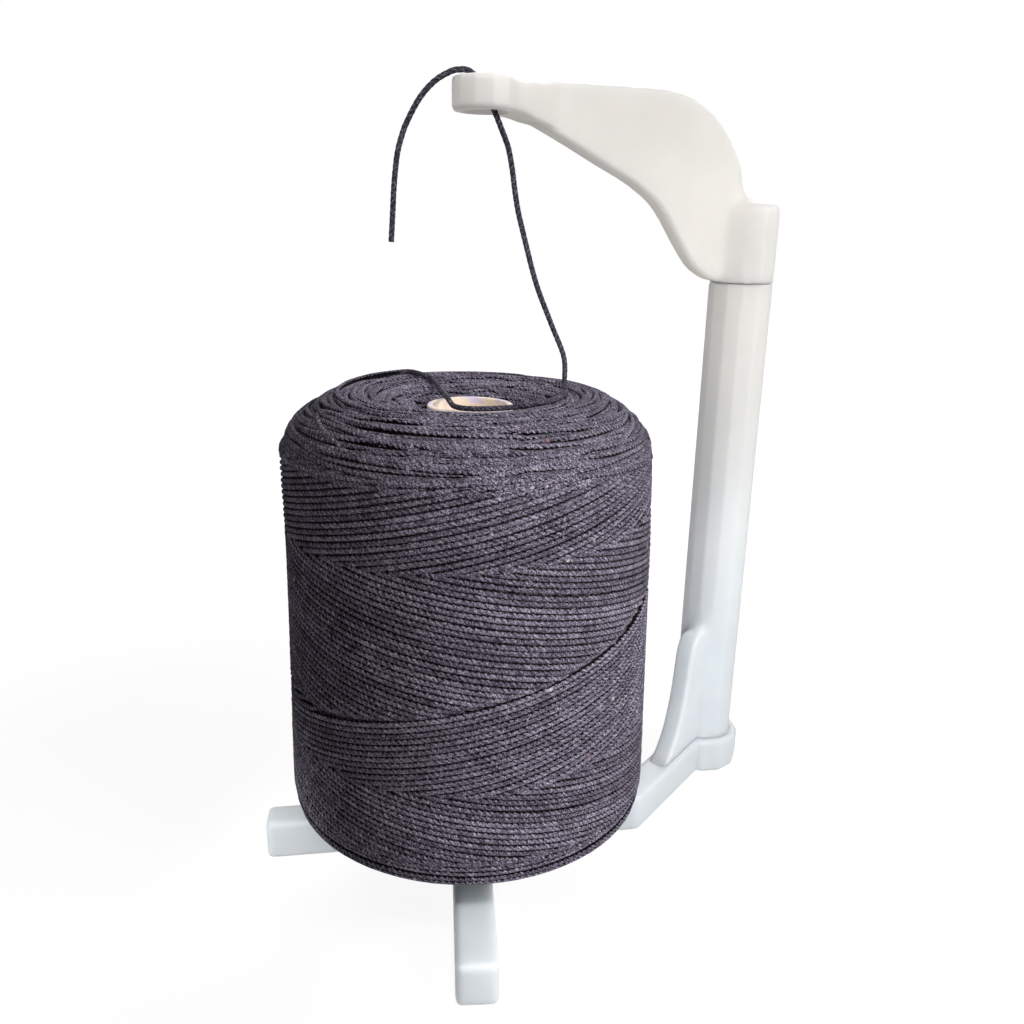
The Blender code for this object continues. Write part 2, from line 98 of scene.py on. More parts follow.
TAIL_ROUTE = (
    (0.0317, -0.0001, 0.1778), (0.0317, -0.0001, 0.1790), (0.0317, -0.0001, 0.1814),
    (0.0314, -0.0001, 0.1841), (0.0304, -0.0002, 0.1874), (0.0274, -0.0003, 0.1940),
    (0.0246, -0.0004, 0.2004), (0.0219, -0.0005, 0.2068), (0.0198, -0.0006, 0.2130),
    (0.0180, -0.0007, 0.2192), (0.0163, -0.0009, 0.2252), (0.0147, -0.0010, 0.2312),
    (0.0136, -0.0011, 0.2371), (0.0127, -0.0012, 0.2430), (0.0115, -0.0013, 0.2487),
    (0.0104, -0.0014, 0.2517), (0.0091, -0.0015, 0.2546), (0.0076, -0.0016, 0.2580),
    (0.0060, -0.0016, 0.2613), (0.0042, -0.0016, 0.2646), (0.0023, -0.0016, 0.2676),
    (0.0004, -0.0016, 0.2696), (-0.0016, -0.0016, 0.2706), (-0.0036, -0.0016, 0.2706),
    (-0.0056, -0.0016, 0.2703), (-0.0076, -0.0016, 0.2694), (-0.0096, -0.0016, 0.2683),
    (-0.0114, -0.0016, 0.2670), (-0.0139, -0.0016, 0.2646), (-0.0161, -0.0016, 0.2618),
    (-0.0178, -0.0016, 0.2590), (-0.0193, -0.0016, 0.2562), (-0.0206, -0.0016, 0.2534),
    (-0.0224, -0.0016, 0.2477), (-0.0233, -0.0016, 0.2420), (-0.0239, -0.0016, 0.2363),
    (-0.0243, -0.0016, 0.2305), (-0.0250, -0.0016, 0.2210),
)


def smooth_run(points, steps):
    """Points on a smooth curve through the given points, with this many steps a span."""
    knots = [np.array(point, float) for point in points]
    knots = [2 * knots[0] - knots[1], *knots, 2 * knots[-1] - knots[-2]]
    run = []
    for before, start, end, after in zip(knots, knots[1:], knots[2:], knots[3:]):
        for step in range(steps):
            t = step / steps
            run.append(
                start
                + (end - before) * t / 2
                + (2 * before - 5 * start + 4 * end - after) * t**2 / 2
                + (3 * start - before - 3 * end + after) * t**3 / 2
            )
    run.append(knots[-2])
    return np.array(run)


def distances(points):
    """How far along a chain of points each one is."""
    steps = np.linalg.norm(np.diff(points, axis=0), axis=1)
    return np.concatenate(([0.0], np.cumsum(steps)))


def even_run(points, step):
    """The same chain of points, read again at even steps."""
    runs = distances(points)
    count = max(2, round(runs[-1] / step)) + 1
    wanted = np.linspace(0.0, runs[-1], count)
    return np.stack([np.interp(wanted, runs, points[:, axis]) for axis in range(3)], axis=1)


def unit(vectors):
    """The same vectors, each at length one."""
    return vectors / np.linalg.norm(vectors, axis=-1, keepdims=True)


def select_only(*objs):
    """Selects these objects and makes the first one active."""
    bpy.ops.object.select_all(action="DESELECT")
    for obj in objs:
        obj.select_set(True)
    bpy.context.view_layer.objects.active = objs[0]


def new_object(name, points, edges, faces):
    """A mesh of these points, edges and faces, in the scene and selected by itself."""
    mesh = bpy.data.meshes.new(name)
    mesh.from_pydata(points, edges, faces)
    obj = bpy.data.objects.new(name, mesh)
    bpy.context.scene.collection.objects.link(obj)
    select_only(obj)
    return obj


def tube_mesh(name, tubes):
    """One mesh of closed tubes, each given as its rings of points, their distances and a tone."""
    points, faces, corners, tones = [], [], [], []
    first = 0
    for rings, runs, tone in tubes:
        count, sides = rings.shape[:2]
        index = first + np.arange(count * sides).reshape(count, sides)
        beside = np.roll(index, -1, axis=1)
        quads = np.stack([index[:-1], beside[:-1], beside[1:], index[1:]], axis=-1).reshape(-1, 4)
        faces += quads.tolist()
        faces += [index[0, ::-1].tolist(), index[-1].tolist()]
        around = np.arange(sides) / sides
        u = np.repeat(runs[:-1, None], sides, axis=1)
        further = np.repeat(runs[1:, None], sides, axis=1)
        v = np.repeat(around[None, :], count - 1, axis=0)
        onward = v + 1 / sides
        wall = np.stack([np.stack(pair, axis=-1) for pair in (
            (u, v), (u, onward), (further, onward), (further, v),
        )], axis=2)
        corners.append(wall.reshape(-1, 2))
        corners.append(np.repeat([[runs[0], 0.0]], sides, axis=0))
        corners.append(np.repeat([[runs[-1], 0.0]], sides, axis=0))
        points.append(rings.reshape(-1, 3))
        tones.append(np.full(count * sides, tone))
        first += count * sides
    obj = new_object(name, np.concatenate(points).tolist(), [], faces)
    layer = obj.data.uv_layers.new(name="UVMap")
    layer.data.foreach_set("uv", np.concatenate(corners).astype(np.float32).ravel())
    tone_layer = obj.data.attributes.new("tone", "FLOAT", "POINT")
    tone_layer.data.foreach_set("value", np.concatenate(tones).astype(np.float32))
    obj.data.shade_smooth()
    return obj


def ply_radius(angle):
    """Outer edge of round plies that lie together, as a share of the string's radius."""
    sector = math.tau / STRING_PLIES
    off = (angle + sector / 2) % sector - sector / 2
    edge = PLY_OFFSET_SHARE * np.cos(off) + np.sqrt(1 - (PLY_OFFSET_SHARE * np.sin(off)) ** 2)
    return edge / (1 + PLY_OFFSET_SHARE)


def round_rings(path, heading, side, angle, radius):
    """Rings of points round a path, from a side direction on it and a radius at each angle."""
    other = np.cross(heading, side)
    ring = np.cos(angle)[None, :, None] * side[:, None, :] + np.sin(angle)[None, :, None] * other[:, None, :]
    return path[:, None, :] + radius[:, :, None] * ring


def twisted_cord(name, route):
    """A twisted string along a chain of points, and the points that it follows."""
    path = even_run(route, CORD_STEP)
    runs = distances(path)
    heading = unit(np.gradient(path, axis=0))
    side = np.zeros_like(path)
    side[0] = unit(np.cross(heading[0], (0.0, 1.0, 0.0)))
    for index in range(1, len(path)):
        carried = side[index - 1] - heading[index] * np.dot(side[index - 1], heading[index])
        side[index] = unit(carried)
    angle = np.arange(CORD_SIDES) * math.tau / CORD_SIDES
    twist = runs / STRING_TWIST * math.tau
    radius = STRING_DIAMETER / 2 * ply_radius(angle[None, :] - twist[:, None])
    rings = round_rings(path, heading, side, angle, radius)
    return tube_mesh(name, [(rings, runs / STRING_TWIST, MIDDLE_TONE)]), path


# String material: charcoal cotton. Fine fibres run along its plies, loose fuzz covers them, painted shade
# darkens the gaps between strands in broken lines, and pale and brown specks of lint cling to it.
STRING_DARK = (0.016, 0.014, 0.022, 1.0)
STRING_MID = (0.136, 0.121, 0.165, 1.0)
STRING_LIGHT = (0.640, 0.575, 0.720, 1.0)
LINT_PALE = (0.62, 0.57, 0.60, 1.0)
LINT_BROWN = (0.26, 0.13, 0.12, 1.0)
STRING_SHEEN = 0.06
STRING_SHEEN_ROUGHNESS = 0.45
STRING_ROUGHNESS = 0.92
# Painted shade: the gap shade darkens the gaps between strands, and a strength below one darkens the whole
# loose string.
LOOSE_GAP_SHADE = 0.0
LOOSE_SHADED_STRENGTH = 0.46
WOUND_GAP_SHADE = 0.97
WOUND_STRENGTH = 1.0
FIBRES_AROUND = 11.0
FIBRES_ALONG = 2.2
TONE_SPREAD = 60.0
# Each noise is given by its scale, its detail and its roughness.
FIBRE_NOISE = (1.0, 2.0, 0.6)
FUZZ_NOISE = (2200.0, 3.0, 0.65)
PATCH_NOISE = (160.0, 3.0, 0.6)
LINT_SCALE = 700.0
LINT_LIMIT = 0.978
LINT_SIZE = 0.46
TONE_STOPS = ((0.39, STRING_DARK), (0.51, STRING_MID), (0.65, STRING_LIGHT))
FIBRE_WEIGHT = 0.30
FUZZ_WEIGHT = 0.60
PATCH_WEIGHT = 0.06
TONE_WEIGHT = 0.04
PLY_WEIGHT = 0.015
# Painted shade in the gaps between strands: where it starts and ends, and how fuzz, patches and plies break
# its edge.
GAP_START = 0.68
GAP_END = 0.90
GAP_FUZZ = 0.26
GAP_PATCH = 0.24
GAP_PLY = 0.10
PLY_BUMP = 0.00004
FUZZ_BUMP = 0.00030


class Nodes:
    """The nodes of a material or of the world, added and joined in one line each."""

    def __init__(self, owner, shader="Principled BSDF", output="Material Output"):
        owner.use_nodes = True
        self.owner = owner
        self.tree = owner.node_tree
        self.shader = self.tree.nodes[shader]
        self.output = self.tree.nodes[output]

    def add(self, kind, settings=None, **inputs):
        node = self.tree.nodes.new(kind)
        for key, value in (settings or {}).items():
            setattr(node, key, value)
        return self.feed(node, **inputs)

    def feed(self, node, **inputs):
        """Sets or joins a node's inputs, given by name or, after a low line, by number."""
        for key, value in inputs.items():
            socket = node.inputs[int(key[1:]) if key[1:].isdigit() else key.replace("_", " ")]
            if isinstance(value, bpy.types.NodeSocket):
                self.tree.links.new(value, socket)
            else:
                socket.default_value = value
        return node

    def math(self, operation, first, second=0.0, third=0.0):
        node = self.add("ShaderNodeMath", {"operation": operation}, _0=first, _1=second, _2=third)
        return node.outputs[0]

    def ramp(self, value, stops):
        node = self.add("ShaderNodeValToRGB", _0=value)
        for index, (place, colour) in enumerate(stops):
            known = index < len(node.color_ramp.elements)
            stop = node.color_ramp.elements[index] if known else node.color_ramp.elements.new(place)
            stop.position = place
            stop.color = colour
        return node.outputs["Color"]

    def grey(self, value, stops):
        return self.ramp(value, [(place, (tone, tone, tone, 1.0)) for place, tone in stops])

    def mix(self, share, first, second, blend="MIX"):
        settings = {"data_type": "RGBA", "blend_type": blend}
        return self.add("ShaderNodeMix", settings, _0=share, _6=first, _7=second).outputs[2]

    def noise(self, scale, detail, roughness, place):
        settings = {"Scale": scale, "Detail": detail, "Roughness": roughness, "Vector": place}
        return self.add("ShaderNodeTexNoise", **settings).outputs["Fac"]

    def object_place(self):
        return self.add("ShaderNodeTexCoord").outputs["Object"]

    def bump(self, height, depth, under=None):
        node = self.add("ShaderNodeBump", Strength=1.0, Distance=depth, Height=height)
        if under is not None:
            self.feed(node, Normal=under)
        return node.outputs["Normal"]


def string_material(name, gap_shade, strength):
    """Twisted cotton. Its fibres follow the string's own map, and its fuzz follows its place.
    The gap shade is how dark the painted shade in the gaps between strands is, and the strength how bright
    the rest is; a strength below one paints shade over the whole string."""
    made = Nodes(bpy.data.materials.new(name))
    place = made.object_place()
    run = made.add("ShaderNodeSeparateXYZ", _0=made.add("ShaderNodeUVMap").outputs["UV"])
    tone = made.add("ShaderNodeAttribute", {"attribute_name": "tone"}).outputs["Fac"]
    slant = made.math("SUBTRACT", run.outputs["Y"], run.outputs["X"])
    ply = made.math("COSINE", made.math("MULTIPLY", slant, STRING_PLIES * math.tau))
    fibre_place = made.add(
        "ShaderNodeCombineXYZ", _0=made.math("MULTIPLY", slant, FIBRES_AROUND),
        _1=made.math("MULTIPLY", run.outputs["X"], FIBRES_ALONG), _2=made.math("MULTIPLY", tone, TONE_SPREAD),
    )
    fibre = made.noise(*FIBRE_NOISE, fibre_place.outputs[0])
    fuzz = made.noise(*FUZZ_NOISE, place)
    patch = made.noise(*PATCH_NOISE, place)
    value = made.math("MULTIPLY", fibre, FIBRE_WEIGHT)
    parts = ((fuzz, FUZZ_WEIGHT), (patch, PATCH_WEIGHT), (tone, TONE_WEIGHT), (ply, PLY_WEIGHT))
    for part, weight in parts:
        value = made.math("MULTIPLY_ADD", part, weight, value)
    colour = made.ramp(value, TONE_STOPS)
    # The reach is one along the outer side of a strand and zero along its inner side, where painted shade
    # darkens the gap between strands.
    facing = made.math("COSINE", made.math("MULTIPLY", run.outputs["Y"], math.tau))
    reach = made.math("MULTIPLY_ADD", facing, -0.5, 0.5 - (GAP_FUZZ + GAP_PATCH) / 2)
    reach = made.math("MULTIPLY_ADD", fuzz, GAP_FUZZ, reach)
    reach = made.math("MULTIPLY_ADD", patch, GAP_PATCH, reach)
    reach = made.math("MULTIPLY_ADD", ply, GAP_PLY, reach)
    painted_gap_shade = made.grey(reach, ((GAP_START, strength * (1 - gap_shade)), (GAP_END, strength)))
    colour = made.mix(1.0, colour, painted_gap_shade, "MULTIPLY")
    specks = made.add("ShaderNodeTexVoronoi", Vector=place, Scale=LINT_SCALE)
    picked = made.add("ShaderNodeSeparateColor", _0=specks.outputs["Color"])
    speck = made.math("GREATER_THAN", picked.outputs[0], LINT_LIMIT)
    size = made.math("MULTIPLY", picked.outputs[1], LINT_SIZE)
    near = made.math("LESS_THAN", specks.outputs["Distance"], size)
    lint = made.mix(picked.outputs[2], LINT_PALE, LINT_BROWN)
    colour = made.mix(made.math("MULTIPLY", speck, near), colour, lint)
    relief = made.bump(fuzz, FUZZ_BUMP, made.bump(ply, PLY_BUMP))
    made.feed(
        made.shader, Base_Color=colour, Normal=relief, Roughness=STRING_ROUGHNESS, Specular_IOR_Level=0.0,
        Sheen_Weight=STRING_SHEEN, Sheen_Roughness=STRING_SHEEN_ROUGHNESS,
    )
    return made.owner


# The loose string is the same string as the package, painted darker all over as painted shade.
loose_string = string_material("charcoal_string_loose", LOOSE_GAP_SHADE, LOOSE_SHADED_STRENGTH)

lead, lead_path = twisted_cord("lead_string", smooth_run(LEAD_ROUTE, CURVE_STEPS))
lead.data.materials.append(loose_string)
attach(lead, "stand")
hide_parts("yarn_lead")

tail, tail_path = twisted_cord("tail_string", smooth_run(TAIL_ROUTE, CURVE_STEPS))
tail.data.materials.append(loose_string)
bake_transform(tail)
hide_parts("yarn_tail")


# Base frame
# One flat print of square bars: a left leg, a front leg, and a leg that bends towards the post.
# Faceted bosses stand where the spindle and the post plug in, and every edge is softly rounded.
BAR_WIDTH = 0.012
BAR_HEIGHT = 0.0155
BAR_ROUND = 0.0021
LEFT_LEG_REACH = 0.0755
FRONT_LEG_REACH = 0.0828
FRONT_LEG_WIDTH = 0.0134
FRONT_LEG_TURN_DEG = 3.7
BEND_REACH = 0.0638
POST_LEG_TURN_DEG = 45.0
POST_LEG_LENGTH = 0.0634
BOSS_RADIUS = 0.0157
FACETS = 12
FACET_TURN_DEG = 15.0
ROUND_STEPS = 64
ROUND_SEGMENTS = 4
SHARP_ANGLE_DEG = 60.0
SMOOTH_FACTOR = 0.5
SEAM_STEPS = 4
BASE_GRAIN = 0.0006
BASE_ROUNDS = 6
TOUCH_GAP = 0.0003
SOCKET_FLOOR = 0.0035
TENON_RADIUS = 0.0080
CUT_OVERRUN = 0.002
POST_PLACE = (
    BEND_REACH + POST_LEG_LENGTH * math.cos(math.radians(POST_LEG_TURN_DEG)),
    POST_LEG_LENGTH * math.sin(math.radians(POST_LEG_TURN_DEG)),
)


def apply_modifier(obj, kind, **settings):
    """Adds one modifier and applies it at once."""
    select_only(obj)
    modifier = obj.modifiers.new(kind.lower(), kind)
    for key, value in settings.items():
        setattr(modifier, key, value)
    bpy.ops.object.modifier_apply(modifier=modifier.name)


def block(start, end, width, bottom, top, rounding):
    """A square bar between two places on the plan, with its edges rounded."""
    bpy.ops.object.select_all(action="DESELECT")
    run = (end[0] - start[0], end[1] - start[1])
    middle = ((start[0] + end[0]) / 2, (start[1] + end[1]) / 2, (bottom + top) / 2)
    bpy.ops.mesh.primitive_cube_add(
        size=1.0, location=middle, rotation=(0.0, 0.0, math.atan2(run[1], run[0])),
        scale=(math.hypot(*run), width, top - bottom),
    )
    bpy.ops.object.transform_apply(location=True, rotation=True, scale=True)
    bar = bpy.context.object
    apply_modifier(bar, "BEVEL", width=rounding, segments=ROUND_SEGMENTS, limit_method="NONE")
    return bar


def column(sides, radius, bottom, top, centre=(0.0, 0.0), turn_deg=0.0, crown_radius=None):
    """An upright prism or a round peg on a place on the plan."""
    bpy.ops.object.select_all(action="DESELECT")
    bpy.ops.mesh.primitive_cone_add(
        vertices=sides, radius1=radius, radius2=crown_radius or radius, depth=top - bottom,
        location=(centre[0], centre[1], (bottom + top) / 2),
        rotation=(0.0, 0.0, math.radians(turn_deg)),
    )
    bpy.ops.object.transform_apply(location=True, rotation=True, scale=True)
    return bpy.context.object


def rounded_column(sides, radius, bottom, top, centre, rounding, turn_deg=FACET_TURN_DEG):
    """A column whose rims are rounded and whose upright edges are eased."""
    obj = column(sides, radius, bottom, top, centre, turn_deg)
    apply_modifier(obj, "BEVEL", width=rounding, segments=ROUND_SEGMENTS, limit_method="ANGLE",
                   angle_limit=math.radians(SHARP_ANGLE_DEG))
    return obj


def combine(obj, others, operation):
    """Joins other solids to this one, or cuts them from it."""
    for other in others:
        apply_modifier(obj, "BOOLEAN", operation=operation, solver="EXACT", object=other)
        bpy.data.objects.remove(other, do_unlink=True)


def melt_together(objs, grain, rounds):
    """Joins closed solids into one skin and eases its edges and inner corners."""
    select_only(*objs)
    bpy.ops.object.join()
    obj = bpy.context.object
    apply_modifier(obj, "REMESH", mode="VOXEL", voxel_size=grain, use_smooth_shade=True)
    apply_modifier(obj, "SMOOTH", factor=SMOOTH_FACTOR, iterations=rounds)
    return obj


def soften_along(obj, seam, reach, rounds):
    """Fills the inner corner along a seam of points with a soft fillet."""
    points = np.array([vertex.co for vertex in obj.data.vertices])
    seam = even_run(np.array(seam), reach / SEAM_STEPS)
    away = np.min(np.linalg.norm(points[:, None, :] - seam[None, :, :], axis=2), axis=1)
    group = obj.vertex_groups.new(name="seam")
    for index in np.nonzero(away < reach)[0].tolist():
        group.add([index], float(1 - (away[index] / reach) ** 2), "REPLACE")
    apply_modifier(obj, "SMOOTH", factor=SMOOTH_FACTOR, iterations=rounds, vertex_group=group.name)
    obj.vertex_groups.clear()


def on_bearing(centre, turn, ahead, aside):
    """The place on the plan that lies so far ahead and to the left on a bearing."""
    return (
        centre[0] + ahead * math.cos(turn) - aside * math.sin(turn),
        centre[1] + ahead * math.sin(turn) + aside * math.cos(turn),
    )


def name_piece(obj, name, material):
    """Gives a finished piece its name and its only material."""
    obj.name = name
    obj.data.name = name
    obj.data.materials.clear()
    obj.data.materials.append(material)


# Printed plastic: satin white, with faint layer lines, a fine grain and slow changes of tone. Its white
# is painted cooler at the foot and warmer at the head, as painted light.
PRINT_COOL = (0.80, 0.85, 0.89, 1.0)
PRINT_WARM = (0.885, 0.865, 0.825, 1.0)
PRINT_COOL_LEVEL = 0.06
PRINT_WARM_LEVEL = 0.20
PRINT_SHADE = (0.94, 0.94, 0.94, 1.0)
WHITE = (1.0, 1.0, 1.0, 1.0)
PRINT_LAYER = 0.0003
PRINT_LAYER_BUMP = 0.000012
PRINT_TONE_NOISE = (40.0, 2.0, 0.5)
PRINT_TONE_STOPS = ((0.35, 0.0), (0.70, 1.0))
PRINT_GRAIN_NOISE = (1400.0, 2.0, 0.5)
PRINT_GRAIN_BUMP = 0.000015
PRINT_ROUGHNESS = 0.36
PRINT_ROUGHNESS_SPREAD = 0.12
PRINT_GLOW_SHARES = (1.0, 0.95, 0.90)
PRINT_GLOW_REACH = 0.0060


def printed_material(name):
    """Printed plastic that glows a little under its skin."""
    made = Nodes(bpy.data.materials.new(name))
    place = made.object_place()
    level = made.add("ShaderNodeSeparateXYZ", _0=place).outputs["Z"]
    layers = made.math("SINE", made.math("MULTIPLY", level, math.tau / PRINT_LAYER))
    grain = made.noise(*PRINT_GRAIN_NOISE, place)
    slow = made.grey(made.noise(*PRINT_TONE_NOISE, place), PRINT_TONE_STOPS)
    # Painted light: the white turns from cool at the foot to warm at the head, by height alone.
    painted_light_warmth = made.grey(level, ((PRINT_COOL_LEVEL, 0.0), (PRINT_WARM_LEVEL, 1.0)))
    white = made.mix(painted_light_warmth, PRINT_COOL, PRINT_WARM)
    shade = made.mix(slow, PRINT_SHADE, WHITE)
    colour = made.mix(1.0, white, shade, "MULTIPLY")
    roughness = made.math("MULTIPLY_ADD", grain, PRINT_ROUGHNESS_SPREAD, PRINT_ROUGHNESS)
    relief = made.bump(grain, PRINT_GRAIN_BUMP, made.bump(layers, PRINT_LAYER_BUMP))
    made.feed(
        made.shader, Base_Color=colour, Normal=relief, Roughness=roughness, Subsurface_Weight=1.0,
        Subsurface_Radius=PRINT_GLOW_SHARES, Subsurface_Scale=PRINT_GLOW_REACH,
    )
    return made.owner


printed_white = printed_material("printed_white")

front_turn = math.radians(FRONT_LEG_TURN_DEG)
front_end = (-FRONT_LEG_REACH * math.sin(front_turn), -FRONT_LEG_REACH * math.cos(front_turn))
base = melt_together([
    block((-LEFT_LEG_REACH, 0.0), (BEND_REACH, 0.0), BAR_WIDTH, 0.0, BAR_HEIGHT, BAR_ROUND),
    block((0.0, 0.0), front_end, FRONT_LEG_WIDTH, 0.0, BAR_HEIGHT, BAR_ROUND),
    block((BEND_REACH, 0.0), POST_PLACE, BAR_WIDTH, 0.0, BAR_HEIGHT, BAR_ROUND),
    rounded_column(ROUND_STEPS, BAR_WIDTH / 2, 0.0, BAR_HEIGHT, (BEND_REACH, 0.0), BAR_ROUND),
    rounded_column(FACETS, BOSS_RADIUS, 0.0, BAR_HEIGHT, (0.0, 0.0), BAR_ROUND),
    rounded_column(FACETS, BOSS_RADIUS, 0.0, BAR_HEIGHT, POST_PLACE, BAR_ROUND),
], BASE_GRAIN, BASE_ROUNDS)
combine(base, [
    column(ROUND_STEPS, TENON_RADIUS + TOUCH_GAP, SOCKET_FLOOR, BAR_HEIGHT + CUT_OVERRUN, centre)
    for centre in ((0.0, 0.0), POST_PLACE)
], "DIFFERENCE")
name_piece(base, "base_frame_print", printed_white)
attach(base, "stand")
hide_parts("base_frame")


# Post
# A tall printed column with twelve soft facets. A thin curved brace stands in front of it on the
# bent leg, and a round journal at the top carries the head.
POST_RADIUS = 0.0121
POST_TOP = 0.2069
POST_FOOT = BAR_HEIGHT + TOUCH_GAP
JOURNAL_RADIUS = 0.0070
JOURNAL_LENGTH = 0.0180
BRACE_THICKNESS = 0.0078
BRACE_REACH = 0.0330
BRACE_HEIGHT = 0.0528
BRACE_ROUND = 0.0010
BRACE_OUTLINE_SHARES = (
    (0.06, 1.00), (0.18, 0.99), (0.28, 0.94), (0.35, 0.85), (0.38, 0.73),
    (0.42, 0.55), (0.50, 0.36), (0.62, 0.19), (0.80, 0.06), (1.00, 0.00),
)
OUTLINE_STEPS = 4
POST_GRAIN = 0.0005
POST_ROUNDS = 14
SEAM_REACH = 0.0080
SEAM_ROUNDS = 260
FOOT_SINK = 0.0014
FOOT_FILLET = 0.0016
RIM_INSET = 0.0003


def face_outward(obj):
    """Turns the faces of a closed piece outward."""
    select_only(obj)
    bpy.ops.object.mode_set(mode="EDIT")
    bpy.ops.mesh.select_all(action="SELECT")
    bpy.ops.mesh.normals_make_consistent(inside=False)
    bpy.ops.object.mode_set(mode="OBJECT")


def turn_on_seat(obj, seat, turn):
    """Sets a piece on its seat, turned to its bearing."""
    select_only(obj)
    obj.matrix_world = Matrix.Translation(seat) @ Matrix.Rotation(turn, 4, "Z")
    bpy.ops.object.transform_apply(location=True, rotation=True, scale=True)


def plate(outline, thickness, turn, seat, rounding):
    """An upright plate of this outline of (reach, height), turned to its bearing on its seat."""
    obj = new_object("plate", [(x, 0.0, z) for x, z in outline], [], [list(range(len(outline)))])
    apply_modifier(obj, "SOLIDIFY", thickness=thickness, offset=0.0, use_even_offset=True)
    turn_on_seat(obj, seat, turn)
    face_outward(obj)
    apply_modifier(obj, "BEVEL", width=rounding, segments=ROUND_SEGMENTS, limit_method="ANGLE",
                   angle_limit=math.radians(SHARP_ANGLE_DEG), use_clamp_overlap=False)
    return obj


brace_edge = [
    (POST_RADIUS + BRACE_REACH * x, BRACE_HEIGHT * z)
    for x, z in smooth_run(BRACE_OUTLINE_SHARES, OUTLINE_STEPS)
]
brace_inner = POST_RADIUS - BRACE_THICKNESS / 2
brace_outline = [(brace_inner, BRACE_HEIGHT), *brace_edge, (brace_inner, 0.0)]
brace_turn = math.radians(POST_LEG_TURN_DEG) + math.pi
sunk_foot = BAR_HEIGHT - FOOT_SINK
post = melt_together([
    column(FACETS, POST_RADIUS, sunk_foot, POST_TOP, POST_PLACE, FACET_TURN_DEG),
    column(FACETS, POST_RADIUS + FOOT_FILLET, sunk_foot, BAR_HEIGHT + FOOT_FILLET, POST_PLACE,
           FACET_TURN_DEG, POST_RADIUS),
    plate(brace_outline, BRACE_THICKNESS, brace_turn, (*POST_PLACE, sunk_foot), BRACE_ROUND),
], POST_GRAIN, POST_ROUNDS)
for side in (-1, 1):
    off = side * BRACE_THICKNESS / 2
    corner = on_bearing(POST_PLACE, brace_turn, math.sqrt(POST_RADIUS**2 - off**2), off)
    seam = ((*corner, POST_FOOT + SEAM_REACH), (*corner, POST_FOOT + BRACE_HEIGHT))
    soften_along(post, seam, SEAM_REACH, SEAM_ROUNDS)
combine(post, [
    column(ROUND_STEPS, TENON_RADIUS, SOCKET_FLOOR + TOUCH_GAP, POST_FOOT + CUT_OVERRUN, POST_PLACE),
    column(ROUND_STEPS, JOURNAL_RADIUS, POST_TOP - CUT_OVERRUN, POST_TOP + JOURNAL_LENGTH, POST_PLACE),
    column(FACETS, POST_RADIUS - RIM_INSET, POST_TOP - CUT_OVERRUN, POST_TOP, POST_PLACE, FACET_TURN_DEG),
], "UNION")
name_piece(post, "post_print", printed_white)
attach(post, "stand")
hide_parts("post")


# Swivel head
# One print: a faceted hub that turns on the journal, a flat arm that sweeps up and over the
# package, and a faceted eyelet ring. The arm melts softly into the hub and the ring.
HUB_HEIGHT = 0.0290
HEAD_FOOT = POST_TOP + TOUCH_GAP
ARM_REACH = 0.1130
ARM_RISE = 0.0621
ARM_THICKNESS = 0.0070
ARM_BEARING_DEG = 202.6
EYELET_RADIUS = 0.0104
EYELET_HEIGHT = 0.0098
EYELET_BORE_RADIUS = 0.0060
EYELET_LIP = 0.0014
HEAD_GRAIN = 0.0004
HEAD_ROUNDS = 8
HUB_ROUND = 0.0028
ARM_ROUND = 0.0013
EYELET_ROUND = 0.0014
HUB_SEAM_REACH = 0.0110
HUB_SEAM_ROUNDS = 420
RING_SEAM_REACH = 0.0050
RING_SEAM_ROUNDS = 120
FLARE_REACH = 0.0260
FLARE_ROOT_LEVELS = (0.0485, 0.0617)
FLARE_TIP_LEVELS = (0.0537, 0.0611)
FLARE_TIP_INSET = 0.0010
FLARE_ROOT_INSET = 0.0002
ARM_UPPER_SHARES = (
    (1.000, 0.995), (0.790, 1.006), (0.600, 1.018), (0.430, 1.026), (0.360, 1.020), (0.305, 1.004),
    (0.256, 0.974), (0.205, 0.926), (0.153, 0.855), (0.104, 0.753), (0.066, 0.648), (0.036, 0.538),
    (0.000, 0.440),
)
ARM_LOWER_SHARES = (
    (0.090, 0.005), (0.158, 0.022), (0.231, 0.090), (0.288, 0.200), (0.315, 0.260), (0.363, 0.368),
    (0.414, 0.454), (0.504, 0.546), (0.616, 0.630), (0.732, 0.720), (0.848, 0.804), (0.890, 0.828),
    (0.935, 0.845), (1.000, 0.848),
)

arm_turn = math.radians(ARM_BEARING_DEG)
eyelet_centre = on_bearing(POST_PLACE, arm_turn, ARM_REACH, 0.0)
ring_top = HEAD_FOOT + ARM_RISE
ring_foot = ring_top - EYELET_HEIGHT
ring_turn_deg = FACET_TURN_DEG + ARM_BEARING_DEG
hub_top = HEAD_FOOT + HUB_HEIGHT
arm_outline = [
    (ARM_REACH * x, ARM_RISE * z)
    for shares in (ARM_UPPER_SHARES, ARM_LOWER_SHARES)
    for x, z in smooth_run(shares, OUTLINE_STEPS)
]


def flare():
    """The wedge by which the flat arm widens to the width of its ring."""
    tip_width = EYELET_RADIUS * math.cos(math.pi / FACETS) - FLARE_TIP_INSET
    ends = (
        (ARM_REACH - FLARE_REACH, ARM_THICKNESS / 2 - FLARE_ROOT_INSET, FLARE_ROOT_LEVELS),
        (ARM_REACH, tip_width, FLARE_TIP_LEVELS),
    )
    corners = [(x, side * y, z) for x, y, levels in ends for side in (-1, 1) for z in levels]
    obj = new_object("flare", corners, [], [])
    bpy.ops.object.mode_set(mode="EDIT")
    bpy.ops.mesh.select_all(action="SELECT")
    bpy.ops.mesh.convex_hull()
    bpy.ops.object.mode_set(mode="OBJECT")
    face_outward(obj)
    turn_on_seat(obj, (*POST_PLACE, HEAD_FOOT), arm_turn)
    return obj


